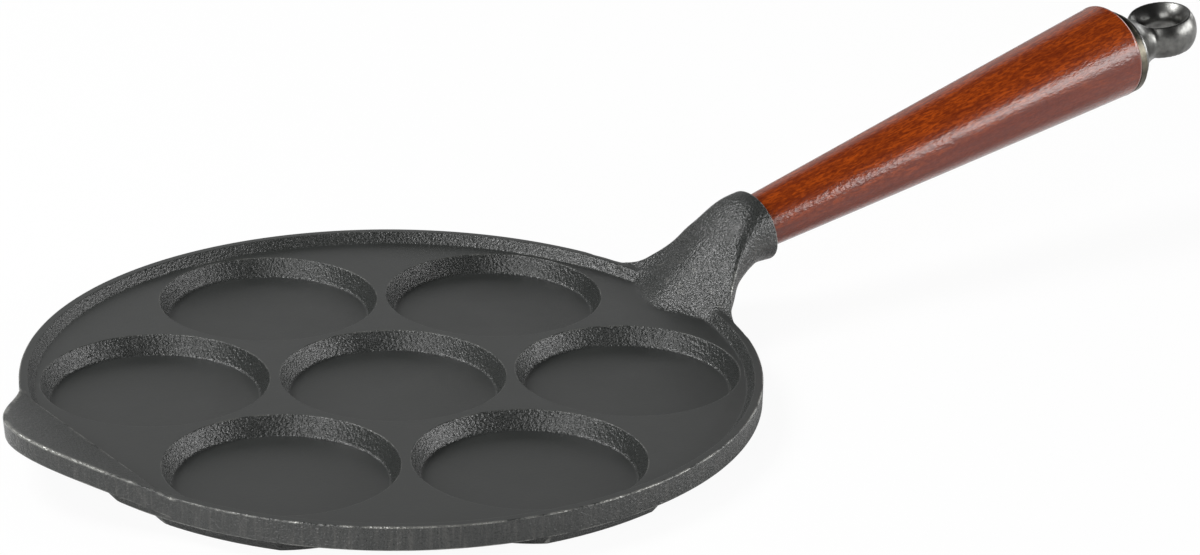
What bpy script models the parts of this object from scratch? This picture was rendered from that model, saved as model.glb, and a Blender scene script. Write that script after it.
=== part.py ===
# Cast-iron blini pan with seven shallow pits, a socket neck and a turned wooden grip.
# Metres, +Z up. The pan stands on its flat base at the origin and the handle runs along +X.

import math

import bmesh
import bpy
import numpy as np
from mathutils import Matrix

# Pits
PIT_RADIUS = 0.0352
PIT_DEPTH = 0.0059
PIT_DRAFT = 0.0028
PIT_FLOOR_FILLET = 0.0011
PIT_EDGE_ROUNDING = 0.0004
PIT_WEB = 0.0030
PITS_IN_RING = 6

# Plate and rim
RING_MARGIN = 0.0014
RIM_FOOT_FILLET = 0.0006
RIM_SLOPE_RUN = 0.0023
RIM_RISE = 0.0033
RIM_WIDTH = 0.0027
RIM_EDGE_ROUNDING = 0.0005
PLATE_THICKNESS = 0.0043

# Underside
FLOOR_THICKNESS = 0.0035
BOSS_WALL = 0.0072
BOSS_DRAFT = 0.0034
BOSS_EDGE_ROUNDING = 0.0012
SKIRT_INSET = 0.0050
SKIRT_DRAFT = 0.0034

# Pouring lip, opposite the handle
LIP_REACH = 0.0169
LIP_HALF_WIDTH = 0.0520
LIP_FOLD_INSET = 0.0080
LIP_RISE_INSET = 0.0098
LIP_ANGLE = math.radians(21.3)
LIP_THICKNESS = 0.0071
LIP_DRAFT = 0.0006
LIP_FOOT_RUN = 0.0025
LIP_UNDERSIDE_DROP = 0.0033
LIP_STATIONS = 41

# Relief under the lip, where the plate's lower edge is cut back
RELIEF_INSET = 0.0070
RELIEF_DROP = 0.0022
RELIEF_TOP_HALF_WIDTH = 0.0200
RELIEF_BOTTOM_HALF_WIDTH = 0.0260

# Neck and socket
HANDLE_TILT = math.radians(11.57)
SOCKET_REACH = 0.0272
SOCKET_RISE = 0.0201
SOCKET_DEPTH = 0.0066
COLLAR_RADIUS = 0.0125
NECK_FILLET = 0.0288
NECK_BURIED_RUN = 0.0020
RAMP_INSET = 0.0140
RAMP_HALF_WIDTH = 0.0272
RAMP_SHARPNESS = 1.35
BOW_RUN = 0.0200
# Plan of the ramp's foot inside the rim, as shares of its inset and of its half width
RAMP_SHAPE = ((-1.143, 0.404), (-0.864, 0.599), (-0.686, 0.779), (-0.436, 0.963), (0, 1))
# Height of the neck's upright side, as shares of its reach and of the plate's thickness
SIDE_SHAPE = ((0.125, 1.302), (0.349, 0.698), (1, 0.465))
# Side view of the neck, as shares of its reach and of its rise
CREASE_SHAPE = ((0.125, 0.256), (0.35, 0.58), (0.59, 0.83), (0.85, 1.01), (1, 1.02))
CROWN_SHAPE = ((0, 0.003), (0.19, 0.196), (0.42, 0.466), (0.645, 0.724), (0.83, 0.90), (1, 0.975))
BELLY_SHAPE = ((0.01, 0), (0.125, 0.10), (0.35, 0.50), (0.59, 0.86), (0.77, 1.02), (1, 1.05))
# How round the neck's section is along its reach: share of a full round, then curve exponents
ROUNDNESS_SHAPE = ((-1, 0), (-0.07, 0), (0.18, 0.45), (0.40, 0.95), (0.74, 1), (1, 1))
SHOULDER_SHAPE = ((-1, 2.7), (0.51, 2.7), (1, 2))
UNDERSIDE_SHAPE = ((-1, 2.5), (0, 2.5), (0.35, 1.8), (0.74, 1.85), (1, 2))

# Turned grip; its three radii are at the socket's mouth, half-way and at the outer end
GRIP_LENGTH = 0.1612
GRIP_MOUTH_RADIUS = 0.00915
GRIP_MIDDLE_RADIUS = 0.0131
GRIP_END_RADIUS = 0.0169
GRIP_END_ROUNDING = 0.0018

# Tie rod, washer and hanging eye
ROD_RADIUS = 0.0030
ROD_THREAD_ENGAGEMENT = 0.0100
ROD_EYE_ENGAGEMENT = 0.0090
ROD_CHAMFER = 0.0006
ROD_DROP = 0.0018
WASHER_RADIUS = 0.0153
WASHER_THICKNESS = 0.0036
WASHER_CROWN = 0.0009
WASHER_EDGE_ROUNDING = 0.0003
EYE_FLANGE_RADIUS = 0.0135
EYE_FLANGE_THICKNESS = 0.0012
EYE_NECK_RADIUS = 0.0080
EYE_SETBACK = 0.0199
EYE_RADIUS = 0.0126
EYE_HEIGHT = 0.0117
EYE_MOUTH_RADIUS = 0.0103
EYE_WAIST_RADIUS = 0.0064
EYE_LIP_WIDTH = 0.0004

# Clearances
SEAT_GAP = 0.0003
THREAD_GAP = 0.0003
ROD_BORE_GAP = 0.0006
HOLE_END_GAP = 0.0008

# How far joined forms reach into each other, and how far a cutter runs past a face
OVERLAP = 0.0002
CUTTER_OVERRUN = 0.0040

# Facets around each turned form, and sections of the neck
PAN_FACETS = 96
PIT_FACETS = 48
GRIP_FACETS = 44
EYE_FACETS = 36
ROD_FACETS = 20
NECK_CROWN_FACETS = 22
NECK_BELLY_FACETS = 12
NECK_RAMP_STATIONS = 9
NECK_REACH_STATIONS = 17
# Each pad is turned a little further, so that facets of neighbours never cross at one point
PAD_STAGGER = 0.1 * math.tau / PIT_FACETS
SMOOTH_ANGLE = math.radians(32)

PIT_PITCH = 2 * PIT_RADIUS + PIT_WEB
PLATE_RADIUS = PIT_PITCH + PIT_RADIUS + RING_MARGIN
RIM_INNER_RADIUS = PLATE_RADIUS + RIM_SLOPE_RUN
PAN_RADIUS = RIM_INNER_RADIUS + RIM_WIDTH
PLATE_TOP = FLOOR_THICKNESS + PIT_DEPTH
PLATE_BOTTOM = PLATE_TOP - PLATE_THICKNESS
RIM_TOP = PLATE_TOP + RIM_RISE
COLLAR_X = PAN_RADIUS + SOCKET_REACH
COLLAR_Z = PLATE_TOP + SOCKET_RISE


def clear_scene():
    for old in list(bpy.data.objects):
        bpy.data.objects.remove(old, do_unlink=True)


def finish(name, colour, roughness, metallic):
    material = bpy.data.materials.new(name)
    material.use_nodes = True
    shader = material.node_tree.nodes["Principled BSDF"]
    shader.inputs["Base Color"].default_value = (*colour, 1)
    shader.inputs["Roughness"].default_value = roughness
    shader.inputs["Metallic"].default_value = metallic
    return material


def add_object(name, shape, material=None, parent=None):
    mesh = bpy.data.meshes.new(name)
    bmesh.ops.recalc_face_normals(shape, faces=shape.faces)
    shape.to_mesh(mesh)
    shape.free()
    made = bpy.data.objects.new(name, mesh)
    bpy.context.scene.collection.objects.link(made)
    made.parent = parent
    if material is None:
        made.hide_render = True
        made.display_type = "WIRE"
    else:
        mesh.materials.append(material)
        mesh.shade_smooth()
        mesh.set_sharp_from_angle(angle=SMOOTH_ANGLE)
    return made


def combine(body, operation, tools):
    for tool in tools:
        step = body.modifiers.new(f"{operation.lower()} {tool.name}", "BOOLEAN")
        step.operation = operation
        step.object = tool


def arc(centre, radius, start, end, steps):
    """Points of an arc in a (radius, height) profile, angles in degrees."""
    angles = np.radians(np.linspace(start, end, steps + 1))
    return [(centre[0] + radius * math.cos(a), centre[1] + radius * math.sin(a)) for a in angles]


def turned(profile, facets):
    """A solid turned about Z from the (radius, height) points of its profile."""
    shape = bmesh.new()
    points = [shape.verts.new((radius, 0, height)) for radius, height in profile]
    edges = [shape.edges.new(pair) for pair in zip(points, points[1:])]
    if min(radius for radius, _ in profile) > 0:
        edges.append(shape.edges.new((points[-1], points[0])))
    bmesh.ops.spin(
        shape, geom=points + edges, cent=(0, 0, 0), axis=(0, 0, 1),
        angle=math.tau, steps=facets, use_merge=True,
    )
    bmesh.ops.remove_doubles(shape, verts=shape.verts, dist=1e-6)
    return shape


def lofted(sections):
    """A closed solid through loops that all have the same number of points."""
    shape = bmesh.new()
    rings = [[shape.verts.new(point) for point in section] for section in sections]
    for ring in (rings[0], rings[-1]):
        shape.faces.new(ring)
    for near, far in zip(rings, rings[1:]):
        for i in range(len(near)):
            j = (i + 1) % len(near)
            shape.faces.new((near[i], near[j], far[j], far[i]))
    bmesh.ops.triangulate(shape, faces=[face for face in shape.faces if len(face.verts) > 4])
    return shape


def smooth_curve(points, at):
    """The height at one place on a curve through (place, height) points, without overshoot."""
    x, y = np.array(points, float).T
    step = np.diff(x)
    rise = np.diff(y) / step
    slope = np.concatenate([rise[:1], np.zeros(len(x) - 2), rise[-1:]])
    for i in range(1, len(x) - 1):
        if rise[i - 1] * rise[i] > 0:
            before = 2 * step[i] + step[i - 1]
            after = step[i] + 2 * step[i - 1]
            slope[i] = (before + after) / (before / rise[i - 1] + after / rise[i])
    k = min(max(int(np.searchsorted(x, at)) - 1, 0), len(step) - 1)
    t = (at - x[k]) / step[k]
    ends = y[k] * (1 + 2 * t) * (1 - t) ** 2 + y[k + 1] * t * t * (3 - 2 * t)
    return float(ends + step[k] * t * (1 - t) * (slope[k] * (1 - t) - slope[k + 1] * t))


def ease(value):
    value = min(max(value, 0), 1)
    return value * value * (3 - 2 * value)


def pit_places():
    angles = [math.tau * (i + 0.5) / PITS_IN_RING for i in range(PITS_IN_RING)]
    return [(0, 0)] + [(PIT_PITCH * math.cos(a), PIT_PITCH * math.sin(a)) for a in angles]


def dish():
    """The plate with its raised rim, turned in one profile."""
    round_off = RIM_EDGE_ROUNDING
    slope = math.atan2(RIM_RISE, RIM_SLOPE_RUN)
    foot = RIM_FOOT_FILLET * math.tan(slope / 2)
    foot_arc = arc(
        (PLATE_RADIUS - foot, PLATE_TOP + RIM_FOOT_FILLET), RIM_FOOT_FILLET,
        -90, -90 + math.degrees(slope), 2,
    )
    profile = [(0, PLATE_TOP)] + foot_arc
    profile += [(RIM_INNER_RADIUS - 0.35 * round_off, RIM_TOP - 0.5 * round_off)]
    profile += [(RIM_INNER_RADIUS + 0.5 * round_off, RIM_TOP)]
    profile += arc((PAN_RADIUS - round_off, RIM_TOP - round_off), round_off, 90, 0, 3)
    profile += arc((PAN_RADIUS - round_off, PLATE_BOTTOM + round_off), round_off, 0, -90, 2)
    profile += [(0, PLATE_BOTTOM)]
    return turned(profile, PAN_FACETS)


def pit_cutter():
    """One pit: a flat floor, a small fillet, a drafted wall and an eased edge."""
    floor = PLATE_TOP - PIT_DEPTH
    lean = math.atan2(PIT_DEPTH, PIT_DRAFT)
    foot = PIT_FLOOR_FILLET * math.tan(lean / 2)
    floor_radius = PIT_RADIUS - PIT_DRAFT
    ease_off = PIT_EDGE_ROUNDING
    profile = [(0, floor)]
    profile += arc(
        (floor_radius - foot, floor + PIT_FLOOR_FILLET), PIT_FLOOR_FILLET,
        -90, -90 + math.degrees(lean), 3,
    )
    profile += [
        (PIT_RADIUS - ease_off * PIT_DRAFT / PIT_DEPTH, PLATE_TOP - ease_off),
        (PIT_RADIUS + ease_off, PLATE_TOP + 0.2 * ease_off),
        (PIT_RADIUS + ease_off, RIM_TOP + RIM_RISE),
        (0, RIM_TOP + RIM_RISE),
    ]
    return turned(profile, PIT_FACETS)


def boss():
    """The drafted pad under one pit, with a cone below that the flat base is cut from."""
    bottom_radius = PIT_RADIUS - PIT_DRAFT + BOSS_WALL
    height = PLATE_BOTTOM + 0.5 * PLATE_THICKNESS
    lean = BOSS_DRAFT / PLATE_BOTTOM
    round_off = BOSS_EDGE_ROUNDING
    profile = [(0, height), (bottom_radius + lean * height, height)]
    profile += [(bottom_radius + lean * round_off, round_off)]
    profile += [(bottom_radius - 0.35 * round_off, 0.3 * round_off)]
    profile += [(bottom_radius - 2 * round_off, -0.4 * round_off), (0, -2 * round_off)]
    return turned(profile, PIT_FACETS)


def skirt():
    """The cone that trims the outer pads to one round outline and all of them to a flat base."""
    bottom_radius = PAN_RADIUS - SKIRT_INSET
    lean = SKIRT_DRAFT / PLATE_BOTTOM
    round_off = BOSS_EDGE_ROUNDING
    high = PLATE_TOP
    profile = [(0, high), (bottom_radius + lean * high, high)]
    profile += [(bottom_radius + lean * round_off, round_off)]
    profile += [(bottom_radius - 0.35 * round_off, 0.3 * round_off)]
    profile += [(bottom_radius - 1.2 * round_off, 0), (0, 0)]
    return turned(profile, PAN_FACETS)


def lip():
    """A flat tab that slopes up and out, bell-shaped in plan, with a fold inside the rim."""
    sections = []
    slope = math.tan(LIP_ANGLE)
    inside_wall = PAN_RADIUS - OVERLAP
    hidden_radius = PAN_RADIUS - 0.5 * RIM_WIDTH
    round_off = RIM_EDGE_ROUNDING
    for y in np.linspace(-LIP_HALF_WIDTH, LIP_HALF_WIDTH, LIP_STATIONS):
        bell = LIP_REACH * (0.5 + 0.5 * math.cos(math.pi * y / LIP_HALF_WIDTH))
        outer = math.sqrt(inside_wall**2 - y * y) + bell
        inner = min(PAN_RADIUS - LIP_FOLD_INSET, math.sqrt(hidden_radius**2 - y * y))
        outer_top = RIM_TOP + slope * (outer - PAN_RADIUS + LIP_RISE_INSET)
        inner_top = RIM_TOP + slope * (inner - PAN_RADIUS + LIP_RISE_INSET)
        under = max(outer_top - LIP_THICKNESS, PLATE_TOP - LIP_UNDERSIDE_DROP)
        foot = PLATE_TOP - 0.3 * PLATE_THICKNESS
        foot_run = LIP_FOOT_RUN * (inner_top - foot) / (inner_top - PLATE_TOP)
        inner_under = PLATE_TOP - LIP_UNDERSIDE_DROP
        sections.append([
            (-inner, y, inner_top),
            (-outer + round_off, y, outer_top - slope * round_off),
            (-outer + 0.3 * round_off, y, outer_top - slope * 0.3 * round_off - 0.3 * round_off),
            (-outer, y, outer_top - 1.2 * round_off),
            (-outer + LIP_DRAFT, y, under + 0.6 * round_off),
            (-outer + LIP_DRAFT + round_off, y, under),
            (-inner, y, inner_under),
            (-inner + foot_run, y, inner_under),
            (-inner + foot_run, y, foot),
        ])
    return lofted(sections)


def lip_relief():
    """The wedge that cuts the plate's lower edge back under the lip."""
    near = -PAN_RADIUS + RELIEF_INSET
    far = -PAN_RADIUS - LIP_REACH
    slope = (RELIEF_BOTTOM_HALF_WIDTH - RELIEF_TOP_HALF_WIDTH) / (PLATE_THICKNESS - RELIEF_DROP)
    sections = []
    for drop in (RELIEF_DROP, PLATE_THICKNESS + 0.5 * RELIEF_DROP):
        half = RELIEF_TOP_HALF_WIDTH + slope * (drop - RELIEF_DROP)
        height = PLATE_TOP - drop
        sections.append([(near, -half, height), (near, half, height), (far, half, height), (far, -half, height)])
    return lofted(sections)


def neck_lines():
    """The neck's side view: lines of (reach beyond the rim, height above the plate) points."""
    start = -RAMP_INSET - NECK_BURIED_RUN
    rim_foot = -RIM_WIDTH - RIM_SLOPE_RUN - 0.5 * NECK_BURIED_RUN
    sunk = -0.35 * PLATE_THICKNESS
    wall_low = -0.86 * PLATE_THICKNESS
    rise = SOCKET_RISE - RIM_RISE
    ramp = SOCKET_REACH + RAMP_INSET
    top = SOCKET_RISE + COLLAR_RADIUS
    low = SOCKET_RISE - COLLAR_RADIUS
    crease = [(start, 1.4 * sunk), (rim_foot, sunk), (-0.9 * RIM_WIDTH, 0.85 * RIM_RISE)]
    crease += [(-OVERLAP, 0.97 * RIM_RISE)]
    crease += [(SOCKET_REACH * t, RIM_RISE + rise * h) for t, h in CREASE_SHAPE]
    crown = [(start, sunk)] + [(ramp * t - RAMP_INSET, top * h) for t, h in CROWN_SHAPE]
    side = [(start, -0.3 * sunk), (rim_foot, -0.4 * sunk)]
    side += [(-OVERLAP, RIM_RISE - 0.84 * wall_low)]
    side += [(SOCKET_REACH * t, PLATE_THICKNESS * h) for t, h in SIDE_SHAPE]
    belly = [(start, 0.8 * wall_low)]
    belly += [(SOCKET_REACH * t, wall_low + (low - wall_low) * h) for t, h in BELLY_SHAPE]
    return crease, crown, side, belly


def neck_stations():
    """(reach, half width, ramp width, bow) of each section, over the rim and along the plan fillet."""
    across = COLLAR_RADIUS + NECK_FILLET
    middle = math.sqrt((PAN_RADIUS + NECK_FILLET) ** 2 - across**2)
    leaves_rim = PAN_RADIUS * middle / (PAN_RADIUS + NECK_FILLET)
    found = []
    for reach in np.linspace(-RAMP_INSET - NECK_BURIED_RUN, -OVERLAP, NECK_RAMP_STATIONS):
        ramp_width = RAMP_HALF_WIDTH * smooth_curve(RAMP_SHAPE, reach / RAMP_INSET)
        found.append((reach, ramp_width, ramp_width, 1))
    first = leaves_rim + 2 * OVERLAP
    for x in np.linspace(first, PAN_RADIUS + SOCKET_REACH, NECK_REACH_STATIONS):
        half_width = COLLAR_RADIUS
        if x < middle:
            half_width = across - math.sqrt(NECK_FILLET**2 - (middle - x) ** 2)
        bow = 1 - ease((x - leaves_rim) / BOW_RUN)
        sag = PAN_RADIUS - math.sqrt(PAN_RADIUS**2 - half_width**2)
        ramp_width = min(half_width, RAMP_HALF_WIDTH)
        found.append((x + bow * sag - PAN_RADIUS, half_width, ramp_width, bow))
    return found


def neck_section(reach, half_width, ramp_width, bow):
    """One loop of the neck: over the crown from crease to crease, then back under the belly."""
    crease, crown, side, belly = (smooth_curve(line, reach) for line in neck_lines())
    along = reach / SOCKET_REACH
    roundness = smooth_curve(ROUNDNESS_SHAPE, along)
    shoulder = smooth_curve(SHOULDER_SHAPE, along)
    under = smooth_curve(UNDERSIDE_SHAPE, along)
    lean = math.tan(HANDLE_TILT) * ease(along)
    loop = []
    for turn in np.linspace(0, math.pi, NECK_CROWN_FACETS + 1):
        across = math.cos(turn)
        on_ramp = min(1, abs(across) * half_width / ramp_width)
        flared = (0.5 + 0.5 * math.cos(math.pi * on_ramp)) ** RAMP_SHARPNESS
        rounded = max(0, 1 - abs(across) ** shoulder) ** (1 / shoulder)
        bell = (1 - roundness) * flared + roundness * rounded
        loop.append((half_width * across, crease + (crown - crease) * bell))
    for turn in np.linspace(math.pi, math.tau, NECK_BELLY_FACETS + 1):
        across = math.cos(turn)
        drop = max(0, 1 - abs(across) ** under) ** (1 / under)
        loop.append((half_width * across, crease - side - (crease - side - belly) * drop))
    arc_radius = PAN_RADIUS + min(reach, 0)
    points = []
    for y, z in loop:
        sag = arc_radius - math.sqrt(arc_radius**2 - y * y)
        points.append((PAN_RADIUS + reach - bow * sag - lean * (z - SOCKET_RISE), y, PLATE_TOP + z))
    return points


def neck():
    """The flare that leaves the rim, ramps up over it and closes into the round collar."""
    return lofted([neck_section(*station) for station in neck_stations()])


def grip_radius(along):
    """The grip's radius at a distance along it: a parabola through its three radii."""
    t = along / GRIP_LENGTH
    middle = 2 * (2 * GRIP_MIDDLE_RADIUS - GRIP_MOUTH_RADIUS - GRIP_END_RADIUS)
    return GRIP_MOUTH_RADIUS + (GRIP_END_RADIUS - GRIP_MOUTH_RADIUS) * t + middle * t * (1 - t)


def add_axis(name, place, tilt=0, parent=None):
    axis = bpy.data.objects.new(name, None)
    bpy.context.scene.collection.objects.link(axis)
    axis.parent = parent
    axis.location = place
    axis.rotation_euler = (0, tilt, 0)
    return axis


def handle_axes():
    """Empties whose Z runs out along the handle: through the grip, and through the rod below."""
    grip_axis = add_axis("grip_axis", (COLLAR_X, 0, COLLAR_Z), math.pi / 2 - HANDLE_TILT)
    return grip_axis, add_axis("rod_axis", (ROD_DROP, 0, 0), parent=grip_axis)


def socket_cutter():
    """The tapered recess that the grip sits in."""
    profile = [(0, CUTTER_OVERRUN), (grip_radius(CUTTER_OVERRUN) + SEAT_GAP, CUTTER_OVERRUN)]
    profile += [(grip_radius(-SOCKET_DEPTH) + SEAT_GAP, -SOCKET_DEPTH), (0, -SOCKET_DEPTH)]
    return turned(profile, GRIP_FACETS)


def threaded_hole_cutter():
    """The hole in the neck that the tie rod screws into."""
    bottom = -SOCKET_DEPTH - ROD_THREAD_ENGAGEMENT - HOLE_END_GAP
    radius = ROD_RADIUS + THREAD_GAP
    top = 0.5 * CUTTER_OVERRUN
    return turned([(0, top), (radius, top), (radius, bottom), (0, bottom)], ROD_FACETS)


def grip():
    """The turned grip, whose foot sits in the socket."""
    foot = -SOCKET_DEPTH + SEAT_GAP
    end = GRIP_LENGTH
    round_off = GRIP_END_ROUNDING
    profile = [(0, end)]
    profile += [(radius, height) for radius, height in reversed(
        arc((grip_radius(end) - round_off, end - round_off), round_off, 0, 90, 4))]
    for along in np.linspace(end - 6 * round_off, foot, 12):
        profile.append((grip_radius(along), along))
    profile.append((0, foot))
    return turned(profile, GRIP_FACETS)


def grip_bore_cutter():
    """The rod's bore through the grip."""
    radius = ROD_RADIUS + ROD_BORE_GAP
    low = -SOCKET_DEPTH - CUTTER_OVERRUN
    high = GRIP_LENGTH + CUTTER_OVERRUN
    return turned([(0, high), (radius, high), (radius, low), (0, low)], ROD_FACETS)


def washer_seat():
    return GRIP_LENGTH + SEAT_GAP


def washer():
    """A crowned steel washer that closes the grip's end."""
    low = washer_seat()
    high = low + WASHER_THICKNESS
    bore = ROD_RADIUS + THREAD_GAP
    shoulder = high - WASHER_CROWN
    profile = [(bore, high), (0.72 * WASHER_RADIUS, high)]
    profile += [(0.90 * WASHER_RADIUS, high - 0.30 * WASHER_CROWN)]
    profile += [(0.975 * WASHER_RADIUS, high - 0.70 * WASHER_CROWN)]
    profile += [(WASHER_RADIUS, shoulder), (WASHER_RADIUS, low + WASHER_EDGE_ROUNDING)]
    profile += [(WASHER_RADIUS - WASHER_EDGE_ROUNDING, low), (bore, low)]
    return turned(profile, GRIP_FACETS)


def eye_seat():
    return washer_seat() + WASHER_THICKNESS + SEAT_GAP


def tie_rod():
    """The long rod that pulls grip, washer and eye against the socket."""
    low = -SOCKET_DEPTH - ROD_THREAD_ENGAGEMENT
    high = eye_seat() + ROD_EYE_ENGAGEMENT
    end_radius = ROD_RADIUS - ROD_CHAMFER
    profile = [(0, high), (end_radius, high), (ROD_RADIUS, high - ROD_CHAMFER)]
    profile += [(ROD_RADIUS, low + ROD_CHAMFER), (end_radius, low), (0, low)]
    return turned(profile, ROD_FACETS)


def eye_flange():
    """The eye's round foot and its hollow-sided neck."""
    low = eye_seat()
    start = low + EYE_FLANGE_THICKNESS
    end = low + EYE_SETBACK - 0.55 * EYE_RADIUS
    profile = [(0, end), (EYE_NECK_RADIUS, end)]
    for t in np.linspace(0.9, 0, 9):
        fall = (1 - t) ** 2.4
        radius = EYE_NECK_RADIUS + (EYE_FLANGE_RADIUS - EYE_NECK_RADIUS) * fall
        profile.append((radius, start + t * (end - start)))
    profile += [(EYE_FLANGE_RADIUS, low), (0, low)]
    return turned(profile, EYE_FACETS)


def place_on_eye(shape):
    """Turns a form about Z so that it stands across the handle, at the eye's middle."""
    place = Matrix.Translation((0, 0, eye_seat() + EYE_SETBACK))
    turn = Matrix.Rotation(math.pi / 2, 4, "Y")
    bmesh.ops.transform(shape, matrix=place @ turn, verts=shape.verts)
    return shape


def eye_ring():
    """The barrel that the hanging ring is cut from."""
    half = 0.5 * EYE_HEIGHT
    edge = EYE_MOUTH_RADIUS + EYE_LIP_WIDTH
    profile = [(0, half)]
    for t in np.linspace(1, -1, 13):
        profile.append((edge + (EYE_RADIUS - edge) * (1 - abs(t) ** 2.3), half * t))
    profile.append((0, -half))
    return place_on_eye(turned(profile, EYE_FACETS))


def eye_hole_cutter():
    """The hanging hole: wide at both mouths and narrow at its waist."""
    half = 0.5 * EYE_HEIGHT
    past = 1.6 * half
    profile = [(0, past), (1.4 * EYE_MOUTH_RADIUS, past)]
    for t in np.linspace(1.08, -1.08, 13):
        widening = (EYE_MOUTH_RADIUS - EYE_WAIST_RADIUS) * t * t
        profile.append((EYE_WAIST_RADIUS + widening, half * t))
    profile += [(1.4 * EYE_MOUTH_RADIUS, -past), (0, -past)]
    return place_on_eye(turned(profile, EYE_FACETS))


def eye_thread_cutter():
    """The blind hole in the eye's foot that the rod screws into."""
    low = eye_seat() - 0.5 * CUTTER_OVERRUN
    high = eye_seat() + ROD_EYE_ENGAGEMENT + HOLE_END_GAP
    radius = ROD_RADIUS + THREAD_GAP
    return turned([(0, high), (radius, high), (radius, low), (0, low)], ROD_FACETS)


def build_pan(iron, grip_axis, rod_axis):
    body = add_object("pan_body", dish(), iron)
    pads = []
    cutters = []
    for number, (x, y) in enumerate(pit_places()):
        pad = add_object(f"pad_{number}", boss())
        pad.location = (x, y, 0)
        pad.rotation_euler.z = number * PAD_STAGGER
        pads.append(pad)
        cutter = add_object(f"pit_cutter_{number}", pit_cutter())
        cutter.location = (x, y, 0)
        cutters.append(cutter)
    combine(pads[0], "UNION", pads[1:])
    combine(pads[0], "INTERSECT", [add_object("skirt_cone", skirt())])
    combine(body, "UNION", [add_object("neck_flare", neck()), add_object("lip_tab", lip())])
    combine(body, "UNION", pads[:1])
    combine(body, "DIFFERENCE", [*cutters, add_object("lip_relief", lip_relief())])
    recess = add_object("socket_cutter", socket_cutter(), parent=grip_axis)
    hole = add_object("threaded_hole_cutter", threaded_hole_cutter(), parent=rod_axis)
    combine(body, "DIFFERENCE", [recess, hole])


def build_handle(wood, steel, bright_steel, grip_axis, rod_axis):
    wood_grip = add_object("wood_grip", grip(), wood, grip_axis)
    bore = add_object("grip_bore_cutter", grip_bore_cutter(), parent=rod_axis)
    combine(wood_grip, "DIFFERENCE", [bore])
    add_object("end_washer", washer(), bright_steel, rod_axis)
    add_object("tie_rod", tie_rod(), bright_steel, rod_axis)
    eye = add_object("hanging_eye", eye_ring(), steel, rod_axis)
    combine(eye, "UNION", [add_object("eye_foot", eye_flange(), parent=rod_axis)])
    hollows = [add_object("eye_hole_cutter", eye_hole_cutter(), parent=rod_axis)]
    hollows.append(add_object("eye_thread_cutter", eye_thread_cutter(), parent=rod_axis))
    combine(eye, "DIFFERENCE", hollows)


def main():
    clear_scene()
    iron = finish("seasoned_iron", (0.045, 0.045, 0.043), 0.55, 0.3)
    wood = finish("lacquered_wood", (0.23, 0.045, 0.018), 0.3, 0.0)
    steel = finish("cast_steel", (0.20, 0.20, 0.19), 0.4, 0.9)
    bright_steel = finish("turned_steel", (0.45, 0.44, 0.40), 0.35, 1.0)
    axes = handle_axes()
    build_pan(iron, *axes)
    build_handle(wood, steel, bright_steel, *axes)
    bpy.context.view_layer.update()


main()
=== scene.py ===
# Blini pan in seasoned cast iron, with a lacquered grip and a steel hanging eye.
import math

import bmesh
import bpy
import numpy as np
from mathutils import Matrix, Vector
from mathutils.kdtree import KDTree


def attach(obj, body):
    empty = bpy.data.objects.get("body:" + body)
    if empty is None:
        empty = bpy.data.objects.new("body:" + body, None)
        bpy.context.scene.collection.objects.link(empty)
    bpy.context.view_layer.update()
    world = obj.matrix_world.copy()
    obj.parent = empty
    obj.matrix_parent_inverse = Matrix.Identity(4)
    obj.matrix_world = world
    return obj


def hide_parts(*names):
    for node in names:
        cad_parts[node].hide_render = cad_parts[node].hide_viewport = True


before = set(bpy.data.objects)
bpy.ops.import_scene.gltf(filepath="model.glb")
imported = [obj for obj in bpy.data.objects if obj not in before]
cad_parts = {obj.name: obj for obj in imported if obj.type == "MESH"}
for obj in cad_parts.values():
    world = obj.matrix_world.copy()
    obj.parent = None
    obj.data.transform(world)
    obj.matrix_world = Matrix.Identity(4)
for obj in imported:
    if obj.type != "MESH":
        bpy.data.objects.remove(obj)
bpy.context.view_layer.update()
print("stage: frame loaded")


shortest = 1e-5  # metres: the edges below this count as one point


def arcPoints(centre, radius, start, end, steps):  # angles in degrees, in a (radius, height) profile
    angles = np.radians(np.linspace(start, end, steps + 1))
    return [(centre[0] + radius * math.cos(a), centre[1] + radius * math.sin(a)) for a in angles]


def roundedProfile(corners, steps=6):  # corners are (radius, height, rounding)
    points = []
    for i, (x, y, rounding) in enumerate(corners):
        corner = Vector((x, y))
        if rounding == 0 or i in (0, len(corners) - 1):
            points.append((x, y))
            continue
        back = (Vector(corners[i - 1][:2]) - corner).normalized()
        ahead = (Vector(corners[i + 1][:2]) - corner).normalized()
        halfAngle = 0.5 * back.angle(ahead)
        centre = corner + (back + ahead).normalized() * rounding / math.sin(halfAngle)
        reach = rounding / math.tan(halfAngle)
        first = (corner + back * reach - centre).normalized()
        last = (corner + ahead * reach - centre).normalized()
        for t in np.linspace(0, 1, steps + 1):
            points.append(tuple(centre + first.slerp(last, t) * rounding))
    return points


def turnedForm(profile, facets, place=None):
    shape = bmesh.new()
    points = [shape.verts.new((radius, 0, height)) for radius, height in profile]
    edges = [shape.edges.new(pair) for pair in zip(points, points[1:])]
    if min(radius for radius, _ in profile) > 0:
        edges.append(shape.edges.new((points[-1], points[0])))
    bmesh.ops.spin(
        shape, geom=points + edges, cent=(0, 0, 0), axis=(0, 0, 1),
        angle=math.tau, steps=facets, use_merge=True,
    )
    bmesh.ops.remove_doubles(shape, verts=shape.verts, dist=1e-6)
    if place is not None:
        bmesh.ops.transform(shape, matrix=place, verts=shape.verts)
    return shape


def loftedForm(sections):
    shape = bmesh.new()
    rings = [[shape.verts.new(point) for point in section] for section in sections]
    for ring in (rings[0], rings[-1]):
        shape.faces.new(ring)
    for near, far in zip(rings, rings[1:]):
        for i in range(len(near)):
            j = (i + 1) % len(near)
            shape.faces.new((near[i], near[j], far[j], far[i]))
    bmesh.ops.triangulate(shape, faces=[face for face in shape.faces if len(face.verts) > 4])
    return shape


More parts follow.
